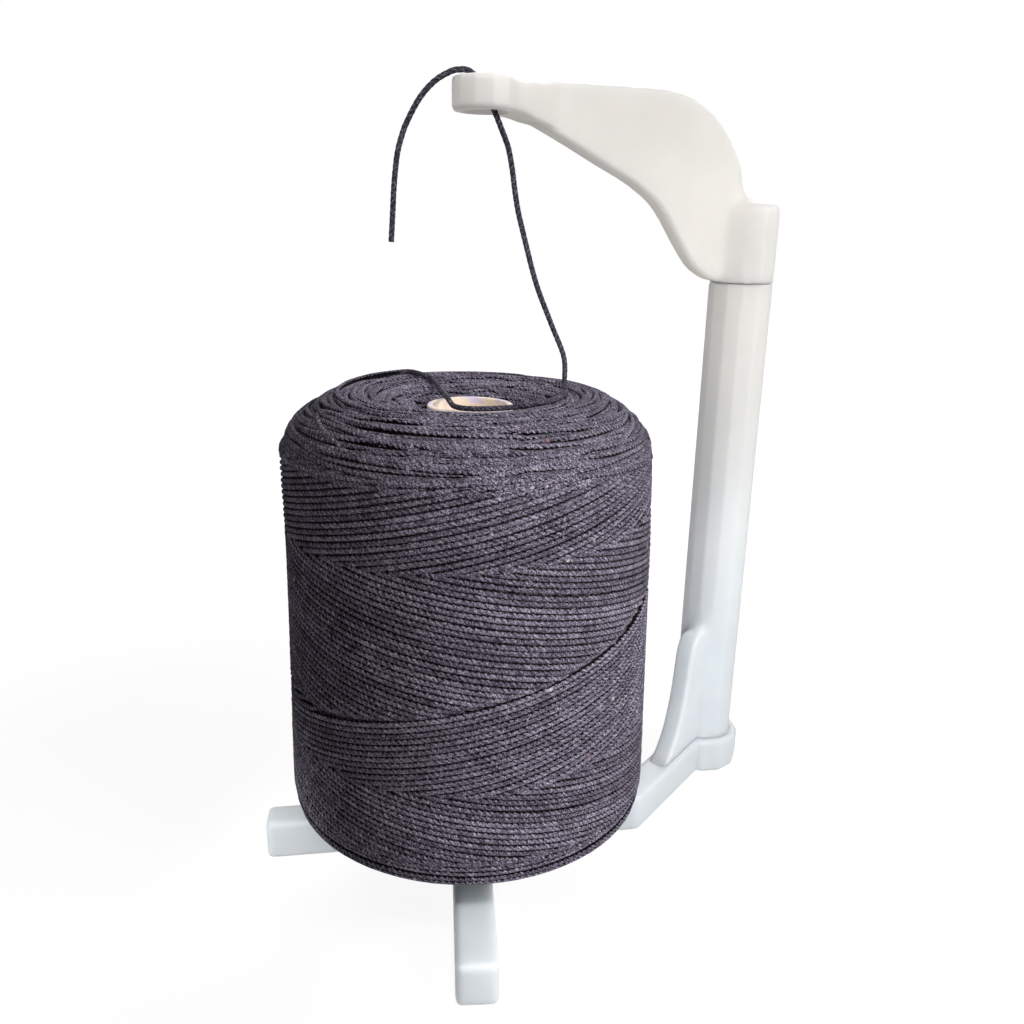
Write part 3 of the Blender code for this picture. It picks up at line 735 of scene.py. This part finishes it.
head = melt_together([
    column(FACETS, POST_RADIUS, HEAD_FOOT, HEAD_FOOT + HUB_HEIGHT / 2, POST_PLACE, FACET_TURN_DEG),
    rounded_column(FACETS, POST_RADIUS, HEAD_FOOT + HUB_ROUND, hub_top, POST_PLACE, HUB_ROUND),
    plate(arm_outline, ARM_THICKNESS, arm_turn, (*POST_PLACE, HEAD_FOOT), ARM_ROUND),
    rounded_column(FACETS, EYELET_RADIUS, ring_foot, ring_top, eyelet_centre, EYELET_ROUND, ring_turn_deg),
    flare(),
], HEAD_GRAIN, HEAD_ROUNDS)
for side in (-1, 1):
    off = side * ARM_THICKNESS / 2
    corner = on_bearing(POST_PLACE, arm_turn, math.sqrt(POST_RADIUS**2 - off**2), off)
    over = on_bearing(POST_PLACE, arm_turn, 0.0, off)
    seam = ((*corner, HEAD_FOOT + HUB_SEAM_REACH), (*corner, hub_top), (*over, hub_top))
    soften_along(head, seam, HUB_SEAM_REACH, HUB_SEAM_ROUNDS)
    corner = on_bearing(eyelet_centre, arm_turn, -math.sqrt(EYELET_RADIUS**2 - off**2), off)
    seam = ((*corner, ring_foot), (*corner, ring_top))
    soften_along(head, seam, RING_SEAM_REACH, RING_SEAM_ROUNDS)
combine(head, [
    column(FACETS, POST_RADIUS - RIM_INSET, HEAD_FOOT, HEAD_FOOT + CUT_OVERRUN, POST_PLACE, FACET_TURN_DEG),
], "UNION")
wide_mouth = EYELET_BORE_RADIUS + EYELET_LIP + CUT_OVERRUN
combine(head, [
    column(ROUND_STEPS, EYELET_BORE_RADIUS, ring_foot - CUT_OVERRUN, ring_top + CUT_OVERRUN, eyelet_centre),
    column(ROUND_STEPS, wide_mouth, ring_foot - CUT_OVERRUN, ring_foot + EYELET_LIP, eyelet_centre,
           crown_radius=EYELET_BORE_RADIUS),
    column(ROUND_STEPS, EYELET_BORE_RADIUS, ring_top - EYELET_LIP, ring_top + CUT_OVERRUN, eyelet_centre,
           crown_radius=wide_mouth),
    column(ROUND_STEPS, JOURNAL_RADIUS + TOUCH_GAP, HEAD_FOOT - CUT_OVERRUN,
           HEAD_FOOT + JOURNAL_LENGTH + TOUCH_GAP, POST_PLACE),
], "DIFFERENCE")
name_piece(head, "swivel_head_print", printed_white)
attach(head, "head")
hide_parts("swivel_head")


# Spindle
# A turned peg that plugs into the base, with a collar under the package. It keeps the packed
# shape, because nothing but its collar can be seen.
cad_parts["spindle"].data.materials.clear()
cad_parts["spindle"].data.materials.append(printed_white)


# Core tube
# Spirally rolled cardboard that the string is wound on. Its mouth stands in the crater of the
# package, and a lilac print shows at its rim.
TUBE_RADIUS = 0.0144
TUBE_WALL = 0.0020
TUBE_LENGTH = 0.1440
TUBE_EDGE = 0.0005
TUBE_EDGE_SEGMENTS = 3
TUBE_SMOOTH_DEG = 35.0
PACKAGE_FOOT = 0.0255
CARD_PALE = (1.0, 0.87, 0.73, 1.0)
CARD_DARK = (0.93, 0.77, 0.61, 1.0)
CARD_LILAC = (0.78, 0.70, 0.88, 1.0)
CARD_FIBRE_NOISE = (900.0, 4.0, 0.6)
CARD_FIBRE_STOPS = ((0.3, CARD_DARK), (0.6, CARD_PALE))
CARD_FIBRE_BUMP = 0.00005
CARD_BLOT_NOISE = (160.0, 2.0, 0.5)
CARD_BLOT_STOPS = ((0.45, 0.0), (0.60, 1.0))
CARD_ROUGHNESS = 0.85

tube_top = PACKAGE_FOOT + TUBE_LENGTH


def card_material():
    """Rolled card with soft fibres, and blots of print on its rim."""
    made = Nodes(bpy.data.materials.new("rolled_card"))
    place = made.object_place()
    level = made.add("ShaderNodeSeparateXYZ", _0=place).outputs["Z"]
    fibre = made.noise(*CARD_FIBRE_NOISE, place)
    colour = made.ramp(fibre, CARD_FIBRE_STOPS)
    rim = made.math("GREATER_THAN", level, tube_top - TUBE_WALL)
    blot = made.grey(made.noise(*CARD_BLOT_NOISE, place), CARD_BLOT_STOPS)
    colour = made.mix(made.math("MULTIPLY", rim, blot), colour, CARD_LILAC)
    relief = made.bump(fibre, CARD_FIBRE_BUMP)
    made.feed(made.shader, Base_Color=colour, Normal=relief, Roughness=CARD_ROUGHNESS)
    return made.owner


tube = column(ROUND_STEPS, TUBE_RADIUS, PACKAGE_FOOT, tube_top)
combine(tube, [
    column(ROUND_STEPS, TUBE_RADIUS - TUBE_WALL, PACKAGE_FOOT - CUT_OVERRUN, tube_top + CUT_OVERRUN),
], "DIFFERENCE")
apply_modifier(tube, "BEVEL", width=TUBE_EDGE, segments=TUBE_EDGE_SEGMENTS, limit_method="ANGLE",
               angle_limit=math.radians(SHARP_ANGLE_DEG))
select_only(tube)
bpy.ops.object.shade_smooth_by_angle(angle=math.radians(TUBE_SMOOTH_DEG))
name_piece(tube, "core_tube_card", card_material())
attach(tube, "package")
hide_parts("core_tube")


# String package
# One long string, wound crosswise on the tube in rising and falling turns. Level turns close the
# crown and the foot, and over the sides the rising and falling turns take the top in bands.
PACKAGE_RADIUS = 0.0642
PACKAGE_HEIGHT = 0.1478
PACKAGE_SHARES = (
    (0.905, 0.000), (0.972, 0.014), (1.000, 0.055), (0.998, 0.155), (0.989, 0.315), (0.979, 0.505),
    (0.971, 0.710), (0.967, 0.842), (0.957, 0.894), (0.920, 0.931), (0.860, 0.958), (0.785, 0.980),
    (0.701, 0.998), (0.592, 1.000), (0.483, 0.995), (0.400, 0.984), (0.330, 0.966), (0.276, 0.944),
    (0.246, 0.926),
)
TURN_SIDES = 8
TURN_POINTS = 72
TURN_RADIUS = 0.00095
TURN_PITCH = 0.0020
TURN_SINK = 0.0017
CROWN_LEVEL = 0.1560
FOOT_LEVEL = 0.0370
PACKAGE_SEED = 11
BAND_EDGE = 0.0030
GROOVE_EDGE = 0.0014
GROOVE_WIDTH = 0.0018
RISING_STARTS = 46
FALLING_STARTS = 36
# Each band's edge is given by its middle height, its swing, and the lag of its swing in degrees.
UPPER_BAND = (0.1350, 0.0045, 30.0)
LOWER_BAND = (0.0640, 0.0040, 50.0)
# The groove is given by its bearings in degrees and its heights.
GROOVE_LINE = (
    (-386.0, 0.1081), (-320.0, 0.1060), (-250.0, 0.0850), (-180.0, 0.0760), (-140.0, 0.0778),
    (-107.4, 0.0856), (-86.3, 0.0911), (-65.1, 0.0967), (-45.6, 0.1022), (-26.0, 0.1081),
)
SIDE_LOW = 0.0330
SIDE_HIGH = 0.1600
FRONT_BEARING_DEG = -95.7
JITTER = 0.00015
SWELL = 0.00005
SWELL_RUN = 0.006
WANDER_WAVES = (2, 3, 5, 7)
CROWN_TILT = 0.0024
SLANT_COUNT = 190
SLANT_SPAN = (0.7, 2.2)
SLANT_REACH = (0.002, 0.012)
SLANT_DIVE = 0.2
SLANT_LIFT = 0.0004
LAST_TURN_SPAN = 3.6
LAST_TURN_DIVE = 2.4
LAST_TURN_SINK = 0.0016
BODY_INSET = 0.0036
WINDING_MIDDLE_RADIUS = 0.038
WINDING_MIDDLE_FOOT = 0.040
WINDING_MIDDLE_TOP = 0.142
CROWN_LEAN = 0.0009
CROWN_LEAN_FOOT = 0.120
CROWN_LEAN_RISE = 0.040

package_line = np.array([
    (PACKAGE_RADIUS * r, PACKAGE_FOOT + PACKAGE_HEIGHT * h)
    for r, h in smooth_run(PACKAGE_SHARES, CURVE_STEPS)
])
package_runs = distances(package_line)
package_heading = unit(np.gradient(package_line, axis=0))
package_outward = np.stack([package_heading[:, 1], -package_heading[:, 0]], axis=1)
flank = slice(0, int(np.argmax(package_line[:, 1])))


def ease(value):
    """A soft step, zero up to zero and one from one on."""
    held = np.clip(value, 0.0, 1.0)
    return held * held * (3 - 2 * held)


def over_edge(height, edge, width):
    """One over an edge and zero under it, with a soft step of this width."""
    return ease((height - edge) / width + 0.5)


def place_at_height(height):
    """How far along the package's outline, from its foot, this height on its flank lies."""
    return np.interp(height, package_line[flank, 1], package_runs[flank])


def on_package(bearing, place, depth):
    """Points under the package's skin, at bearings and places along its outline."""
    columns = [np.interp(place, package_runs, line) for line in (*package_line.T, *package_outward.T)]
    radius = columns[0] - depth * columns[2]
    height = columns[1] - depth * columns[3]
    lean = CROWN_LEAN * ease((height - CROWN_LEAN_FOOT) / CROWN_LEAN_RISE) * ease(radius / PACKAGE_RADIUS)
    return np.stack([radius * np.cos(bearing) - lean, radius * np.sin(bearing), height], axis=-1)


def wander(rng, bearing, size):
    """A slow random drift along a turn."""
    drift = np.zeros_like(bearing)
    for wave in WANDER_WAVES:
        drift += rng.normal() * np.sin(wave * bearing + rng.uniform(0.0, math.tau)) / wave
    return size * drift


def turn_tube(points, tone, rng):
    """A round tube along a turn of the winding, a little thick and thin along its run."""
    runs = distances(points)
    radius = TURN_RADIUS + wander(rng, runs / SWELL_RUN, SWELL)
    heading = unit(np.gradient(points, axis=0))
    middle = unit(points * (1.0, 1.0, 0.0)) * WINDING_MIDDLE_RADIUS
    middle[:, 2] = np.clip(points[:, 2], WINDING_MIDDLE_FOOT, WINDING_MIDDLE_TOP)
    out = unit(points - middle)
    side = unit(out - heading * np.sum(out * heading, axis=1, keepdims=True))
    angle = np.arange(TURN_SIDES) * math.tau / TURN_SIDES + math.pi
    return round_rings(points, heading, side, angle, radius[:, None]), runs / STRING_TWIST, tone


def band_height(bearing, middle, swing, lag_deg):
    """Height of the edge between two bands, round the package."""
    return middle + swing * np.sin(bearing - math.radians(FRONT_BEARING_DEG + lag_deg))


def groove_height(bearing):
    """Height of the groove that one rising turn leaves along the front of the package."""
    bearing_deg = (np.degrees(bearing) - GROOVE_LINE[0][0]) % 360.0 + GROOVE_LINE[0][0]
    return np.interp(bearing_deg, *np.transpose(GROOVE_LINE))


def side_depths(bearing, height):
    """How deep the rising and the falling turns lie, by bearing and height."""
    upper = band_height(bearing, *UPPER_BAND)
    groove = groove_height(bearing)
    lower = band_height(bearing, *LOWER_BAND)
    in_upper = over_edge(height, upper, BAND_EDGE)
    under_groove = over_edge(groove, height, GROOVE_EDGE)
    over_lower = over_edge(height, lower, BAND_EDGE)
    rising_up = np.maximum(in_upper, under_groove * over_lower)
    in_groove = over_edge(groove + GROOVE_WIDTH, height, GROOVE_EDGE)
    falling_up = np.minimum(1 - in_upper, 1 - in_groove * over_lower)
    return [TURN_RADIUS + TURN_SINK * (1 - ease(2 * up)) for up in (rising_up, falling_up)]


def side_turns(starts, direction, rng):
    """The turns of the package's flank, rising in direction 1 or falling in direction -1."""
    climb = starts * TURN_PITCH
    low, high = place_at_height(SIDE_LOW), place_at_height(SIDE_HIGH)
    turns = (high - low) / climb + 1
    tubes = []
    for start in range(starts):
        bearing = np.arange(round(turns * TURN_POINTS) + 1) * math.tau / TURN_POINTS
        place = low - climb * (start / starts) + climb * bearing / math.tau
        held = (place > low - TURN_PITCH) & (place < high + TURN_PITCH)
        bearing = direction * bearing[held]
        place = place[held] + wander(rng, bearing, JITTER)
        height = np.interp(place, package_runs, package_line[:, 1])
        depth = side_depths(bearing, height)[0 if direction > 0 else 1]
        ends = ease((low + 2 * TURN_PITCH - place) / (2 * TURN_PITCH))
        ends += ease((place - high + TURN_PITCH) / (2 * TURN_PITCH))
        depth = depth + TURN_SINK * ends + wander(rng, bearing, JITTER / 2)
        tubes.append(turn_tube(on_package(bearing, place, depth), rng.uniform(), rng))
    return tubes


def level_turns(low, high, pitch, depth, tilt, rng):
    """Level turns of the crown or the foot, each of which runs on a little over its own start."""
    tubes = []
    count = round((high - low) / pitch)
    phase = rng.uniform(0.0, math.tau)
    for index in range(count + 1):
        bearing = phase + np.arange(TURN_POINTS + 2) * math.tau / TURN_POINTS
        phase += rng.uniform(0.0, math.tau)
        place = low + (high - low) * index / count
        place = place + tilt * rng.normal() * np.sin(bearing + phase) + wander(rng, bearing, JITTER)
        place = np.clip(place, 0.0, package_runs[-1])
        sunk = depth + abs(rng.normal()) * JITTER + wander(rng, bearing, JITTER)
        tubes.append(turn_tube(on_package(bearing, place, sunk), rng.uniform(), rng))
    return tubes


def slanting_turns(low, high, count, rng):
    """Parts of turns that come over the shoulder and slant across the crown, then dive again."""
    tubes = []
    for _ in range(count):
        span = rng.uniform(*SLANT_SPAN)
        steps = round(span / math.tau * TURN_POINTS)
        along = np.linspace(0.0, 1.0, steps)
        bearing = rng.uniform(0.0, math.tau) + rng.choice((-1.0, 1.0)) * span * along
        start = rng.uniform(low, high)
        place = start + rng.uniform(*SLANT_REACH) * along + wander(rng, bearing, JITTER)
        place = np.clip(place, low, high)
        under = ease(1 - along / SLANT_DIVE) + ease((along - 1) / SLANT_DIVE + 1)
        depth = TURN_RADIUS - SLANT_LIFT + (TURN_SINK + SLANT_LIFT) * under
        tubes.append(turn_tube(on_package(bearing, place, depth), rng.uniform(), rng))
    return tubes


def last_turn(rng):
    """The end of the winding, which lies on the crown and comes round to the loose string."""
    start = np.array(LEAD_ROUTE[0])
    bearing = math.atan2(start[1], start[0]) + np.linspace(0.0, LAST_TURN_SPAN, TURN_POINTS)
    sink = ease(np.linspace(0.0, LAST_TURN_SPAN / LAST_TURN_DIVE, TURN_POINTS)) * LAST_TURN_SINK
    radius = math.hypot(start[0], start[1])
    points = np.stack([radius * np.cos(bearing), radius * np.sin(bearing), start[2] - sink], axis=-1)
    return turn_tube(points, MIDDLE_TONE, rng)


wound_string = string_material("charcoal_string_wound", WOUND_GAP_SHADE, WOUND_STRENGTH)
package_rng = np.random.default_rng(PACKAGE_SEED)
crown_low = place_at_height(CROWN_LEVEL)
crown_high = package_runs[-1]
foot_high = place_at_height(FOOT_LEVEL)
package_pieces = [
    tube_mesh("package_rising_turns", side_turns(RISING_STARTS, 1, package_rng)),
    tube_mesh("package_falling_turns", side_turns(FALLING_STARTS, -1, package_rng)),
    tube_mesh("package_crown_turns", [
        *level_turns(crown_low, crown_high, TURN_PITCH, TURN_RADIUS + JITTER, JITTER, package_rng),
        *level_turns(crown_low, crown_high - TURN_PITCH, 2 * TURN_PITCH, TURN_RADIUS - JITTER, CROWN_TILT,
                     package_rng),
        *slanting_turns(crown_low - TURN_PITCH, crown_high, SLANT_COUNT, package_rng),
        last_turn(package_rng),
    ]),
    tube_mesh("package_foot_turns", level_turns(0.0, foot_high, TURN_PITCH, TURN_RADIUS, 0.0, package_rng)),
]

# The inner body closes the package between its turns, and is wound of the same string.
body_bore = TUBE_RADIUS + TOUCH_GAP
body_foot = PACKAGE_FOOT + 2 * TURN_RADIUS
body_line = package_line - BODY_INSET * package_outward
body_line = body_line[body_line[:, 0] > body_bore]
body_line[:, 1] = np.maximum(body_line[:, 1], body_foot)
body_profile = [(body_bore, body_foot), *body_line, (body_bore, body_line[-1][1])]
body_count = len(body_profile)
body_edges = [(index, (index + 1) % body_count) for index in range(body_count)]
package_core = new_object("package_core", [(r, 0.0, z) for r, z in body_profile], body_edges, [])
apply_modifier(package_core, "SCREW", steps=TURN_POINTS, angle=math.tau, use_smooth_shade=False)
face_outward(package_core)
package_pieces.append(package_core)

for piece in package_pieces:
    piece.data.materials.append(wound_string)
    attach(piece, "package")
    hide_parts("yarn_body", "yarn_winding")


# Studio
# A plain white floor and background, soft light from the right, and small spots that open up the
# shaded faces of the white pieces and the crown of the package, as in the photograph.
FLOOR_SIZE = 4.0
FLOOR_DROP = 0.0002
FLOOR_COLOUR = (0.68, 0.66, 0.65, 1.0)
FLOOR_GLOW = 1.07
FLOOR_GLOW_SHARE = 0.86
FLOOR_NEAR = 0.20
FLOOR_FAR = 0.50
FLOOR_ROUGHNESS = 0.9
WORLD_COLOUR = (1.0, 0.985, 0.97, 1.0)
WORLD_STRENGTH = 0.17
# Each soft light: its name, place, target, size and power.
SOFT_LIGHTS = (
    ("key_light", (1.11, -0.63, 0.95), (0.02, 0.0, 0.13), 0.6, 11.6),
    ("back_light", (0.35, 1.15, 0.95), (0.02, 0.0, 0.13), 0.8, 6.0),
)
# Each spot: its name, place, target, beam in degrees, size and power.
SPOTS = (
    ("package_spot", (0.80, -0.80, 0.40), (0.03, -0.05, 0.10), 14.0, 0.05, 20.0),
    ("post_spot_low", (-0.34, -1.00, 0.24), (0.125, 0.04, 0.04), 10.0, 0.04, 25.0),
    ("post_spot_high", (-0.34, -1.00, 0.24), (0.120, 0.04, 0.18), 13.0, 0.04, 24.0),
    ("crown_spot", (-0.05, -0.24, 0.64), (0.000, 0.010, 0.172), 16.0, 0.03, 4.2),
    ("ring_spot", (-0.60, -0.70, 0.50), (-0.014, 0.0, 0.264), 8.0, 0.06, 11.0),
    ("foot_spot", (-0.30, -0.40, 0.34), (-0.070, -0.003, 0.010), 8.0, 0.02, 10.0),
    ("toe_spot", (0.02, -0.38, 0.60), (-0.006, -0.085, 0.010), 9.0, 0.02, 8.0),
)

bpy.ops.object.select_all(action="DESELECT")
bpy.ops.mesh.primitive_plane_add(size=FLOOR_SIZE, location=(0.0, 0.0, -FLOOR_DROP))
floor = bpy.context.object
floor.name = "floor"
made = Nodes(bpy.data.materials.new("floor_white"))
seen = made.add("ShaderNodeLightPath")
looked_at = made.math("MAXIMUM", seen.outputs["Is Camera Ray"], seen.outputs["Is Glossy Ray"])
looked_at = made.math("MAXIMUM", looked_at, seen.outputs["Is Transmission Ray"])
away = made.add("ShaderNodeVectorMath", {"operation": "LENGTH"}, _0=made.object_place()).outputs["Value"]
share = made.grey(away, ((FLOOR_NEAR, FLOOR_GLOW_SHARE), (FLOOR_FAR, 1.0)))
glow = made.add("ShaderNodeEmission", Color=WHITE, Strength=FLOOR_GLOW)
colour = made.mix(looked_at, FLOOR_COLOUR, WHITE)
made.feed(made.shader, Base_Color=colour, Roughness=FLOOR_ROUGHNESS, Specular_IOR_Level=0.0)
mixed = made.add(
    "ShaderNodeMixShader", _0=made.math("MULTIPLY", looked_at, share),
    _1=made.shader.outputs[0], _2=glow.outputs[0],
)
made.feed(made.output, Surface=mixed.outputs[0])
floor.data.materials.append(made.owner)

bpy.context.scene.world = bpy.data.worlds.new("studio")
sky = Nodes(bpy.context.scene.world, "Background", "World Output")
seen = sky.add("ShaderNodeLightPath")
looked_at = sky.math("MAXIMUM", seen.outputs["Is Camera Ray"], seen.outputs["Is Glossy Ray"])
sky.feed(sky.shader, Color=WORLD_COLOUR, Strength=WORLD_STRENGTH)
shown = sky.add("ShaderNodeBackground", Color=WHITE, Strength=1.0)
mixed = sky.add("ShaderNodeMixShader", _0=looked_at, _1=sky.shader.outputs[0], _2=shown.outputs[0])
sky.feed(sky.output, Surface=mixed.outputs[0])


def lamp(name, kind, place, target, power):
    """A lamp at a place, turned to what it lights."""
    data = bpy.data.lights.new(name, kind)
    data.energy = power
    obj = bpy.data.objects.new(name, data)
    aim = Vector(target) - Vector(place)
    obj.matrix_world = Matrix.Translation(place) @ aim.to_track_quat("-Z", "Y").to_matrix().to_4x4()
    bpy.context.scene.collection.objects.link(obj)
    return data


for name, place, target, size, power in SOFT_LIGHTS:
    lamp(name, "AREA", place, target, power).size = size
for name, place, target, beam_deg, size, power in SPOTS:
    spot = lamp(name, "SPOT", place, target, power)
    spot.spot_size = math.radians(beam_deg)
    spot.spot_blend = 1.0
    spot.shadow_soft_size = size

bpy.context.scene.view_settings.view_transform = "Standard"
